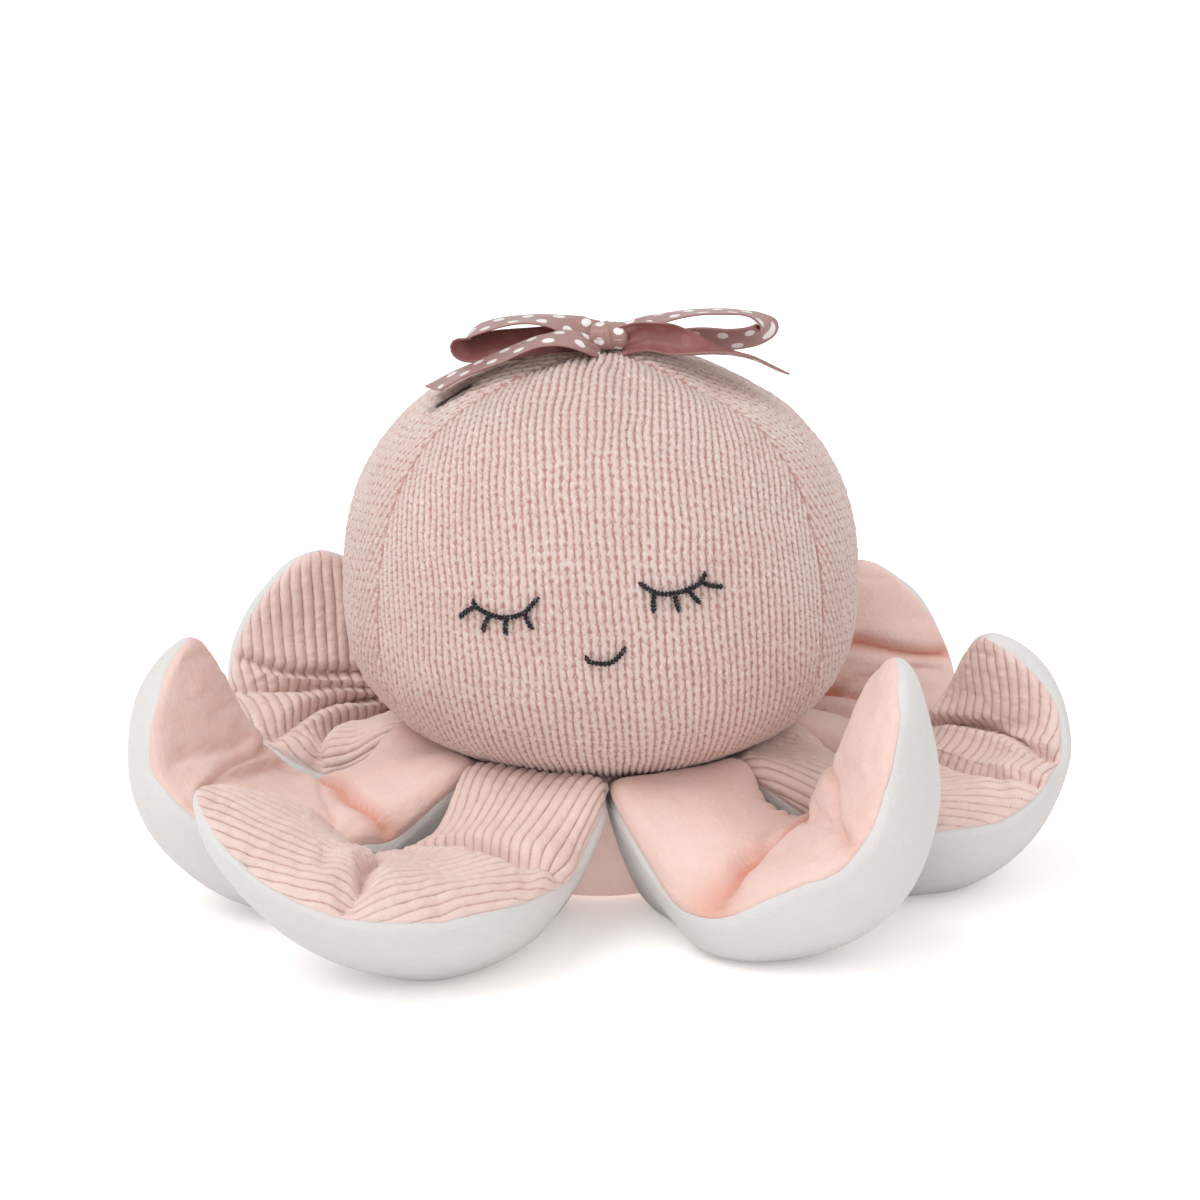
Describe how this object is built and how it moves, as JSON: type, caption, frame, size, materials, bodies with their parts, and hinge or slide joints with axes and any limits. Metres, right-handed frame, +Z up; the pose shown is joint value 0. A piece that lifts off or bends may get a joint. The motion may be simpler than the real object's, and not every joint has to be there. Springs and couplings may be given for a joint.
{
  "type": "octopus soft toy",
  "caption": "Stuffed octopus toy: a round knitted head with an embroidered sleeping face and a ribbon bow, on a ring of padded legs that curl up at their tips and flex where they are sewn on.",
  "frame": {"origin": "middle of the flat face under the base panel, which the toy stands on, straight below the middle of the head", "axes": "+Z up, the face looks along -Y, +X to the right of someone who looks at the face"},
  "size_m": [0.2184, 0.2042, 0.1317],
  "materials": {
    "pink_knit": "fine stockinette knit, slightly fuzzy",
    "pink_corduroy": "wide-rib corduroy",
    "peach_velour": "short-pile velour",
    "white_velour": "short-pile velour",
    "fibre_filling": "loose polyester fibre",
    "dark_thread": "stranded embroidery thread",
    "rose_satin": "satin ribbon with white dots"
  },
  "bodies": {
    "toy": {"base_panel": "white_velour", "head_cover": "pink_knit", "head_filling": "fibre_filling", "eye_left": "dark_thread", "eye_right": "dark_thread", "smile": "dark_thread", "bow_knot": "rose_satin", "bow_loop_left": "rose_satin", "bow_loop_right": "rose_satin"},
    "leg_front_left": {"leg_front_left_top": "pink_corduroy", "leg_front_left_underside": "white_velour", "leg_front_left_filling": "fibre_filling"},
    "leg_front_right": {"leg_front_right_top": "peach_velour", "leg_front_right_underside": "white_velour", "leg_front_right_filling": "fibre_filling"},
    "leg_right_front": {"leg_right_front_top": "pink_corduroy", "leg_right_front_underside": "white_velour", "leg_right_front_filling": "fibre_filling"},
    "leg_right_back": {"leg_right_back_top": "peach_velour", "leg_right_back_underside": "white_velour", "leg_right_back_filling": "fibre_filling"},
    "leg_back_right": {"leg_back_right_top": "pink_corduroy", "leg_back_right_underside": "white_velour", "leg_back_right_filling": "fibre_filling"},
    "leg_back_left": {"leg_back_left_top": "peach_velour", "leg_back_left_underside": "white_velour", "leg_back_left_filling": "fibre_filling"},
    "leg_left_back": {"leg_left_back_top": "pink_corduroy", "leg_left_back_underside": "white_velour", "leg_left_back_filling": "fibre_filling"},
    "leg_left_front": {"leg_left_front_top": "peach_velour", "leg_left_front_underside": "white_velour", "leg_left_front_filling": "fibre_filling"},
    "tail_left": {"bow_tail_left": "rose_satin"},
    "tail_right": {"bow_tail_right": "rose_satin"}
  },
  "joints": [
    {"name": "leg_front_left_flex", "type": "hinge", "parent": "toy", "child": "leg_front_left", "pos_m": [-0.01231, -0.03383, 0.016], "axis": [-0.9397, 0.342, 0], "range_deg": [-35, 8], "stiffness_Nm_per_rad": 0.06},
    {"name": "leg_front_right_flex", "type": "hinge", "parent": "toy", "child": "leg_front_right", "pos_m": [0.01521, -0.03263, 0.016], "axis": [-0.9063, -0.4226, 0], "range_deg": [-35, 8], "stiffness_Nm_per_rad": 0.06},
    {"name": "leg_right_front_flex", "type": "hinge", "parent": "toy", "child": "leg_right_front", "pos_m": [0.03383, -0.01231, 0.016], "axis": [-0.342, -0.9397, 0], "range_deg": [-35, 8], "stiffness_Nm_per_rad": 0.06},
    {"name": "leg_right_back_flex", "type": "hinge", "parent": "toy", "child": "leg_right_back", "pos_m": [0.03263, 0.01521, 0.016], "axis": [0.4226, -0.9063, 0], "range_deg": [-35, 8], "stiffness_Nm_per_rad": 0.06},
    {"name": "leg_back_right_flex", "type": "hinge", "parent": "toy", "child": "leg_back_right", "pos_m": [0.01231, 0.03383, 0.016], "axis": [0.9397, -0.342, 0], "range_deg": [-35, 8], "stiffness_Nm_per_rad": 0.06},
    {"name": "leg_back_left_flex", "type": "hinge", "parent": "toy", "child": "leg_back_left", "pos_m": [-0.01521, 0.03263, 0.016], "axis": [0.9063, 0.4226, 0], "range_deg": [-35, 8], "stiffness_Nm_per_rad": 0.06},
    {"name": "leg_left_back_flex", "type": "hinge", "parent": "toy", "child": "leg_left_back", "pos_m": [-0.03383, 0.01231, 0.016], "axis": [0.342, 0.9397, 0], "range_deg": [-35, 8], "stiffness_Nm_per_rad": 0.06},
    {"name": "leg_left_front_flex", "type": "hinge", "parent": "toy", "child": "leg_left_front", "pos_m": [-0.03263, -0.01521, 0.016], "axis": [-0.4226, 0.9063, 0], "range_deg": [-35, 8], "stiffness_Nm_per_rad": 0.06},
    {"name": "tail_left_lift", "type": "hinge", "parent": "toy", "child": "tail_left", "pos_m": [-0.0012, -0.0032, 0.1238], "axis": [0, 1, 0], "range_deg": [0, 60]},
    {"name": "tail_right_lift", "type": "hinge", "parent": "toy", "child": "tail_right", "pos_m": [0.0052, -0.0032, 0.1238], "axis": [0, -1, 0], "range_deg": [0, 60]}
  ]
}
